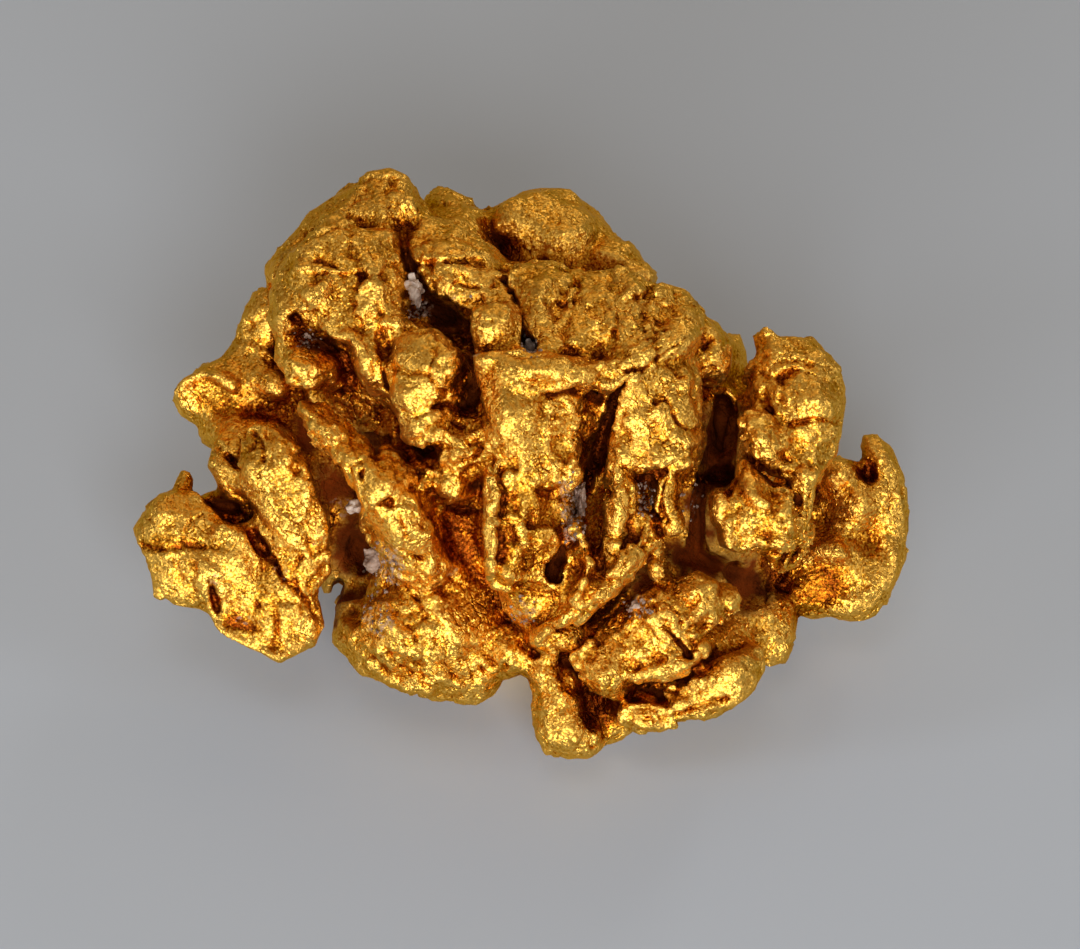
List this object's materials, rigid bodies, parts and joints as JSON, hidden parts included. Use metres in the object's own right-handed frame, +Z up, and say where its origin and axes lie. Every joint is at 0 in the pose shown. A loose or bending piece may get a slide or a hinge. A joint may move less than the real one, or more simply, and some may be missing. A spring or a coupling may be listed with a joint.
{
  "type": "gold nugget",
  "caption": "Small native gold nugget of crumpled lumps, folds and flaps, with grains of quartz wedged in its clefts. Lies on its worn flat underside.",
  "frame": {"origin": "on the surface that the nugget lies on, under the middle of its bounding box", "axes": "+Z up from the worn flat underside; +X along the nugget's length, to the right of a viewer of its broad face, whose lower edge is towards -Y"},
  "size_m": [0.0154, 0.0116, 0.0082],
  "materials": {
    "native_gold": "rough native gold, granular and crumpled, red-brown in its clefts",
    "pale_quartz": "dull white to pinkish quartz grain",
    "stained_quartz": "iron-stained brown to mauve-grey quartz"
  },
  "bodies": {
    "root": {"nugget": "native_gold", "quartz_left_hollow": "stained_quartz", "quartz_left_pebble": "pale_quartz", "quartz_upper_cleft": "pale_quartz", "quartz_mid_crack": "pale_quartz", "quartz_long_cleft": "stained_quartz", "quartz_lower_notch": "pale_quartz"}
  },
  "joints": []
}
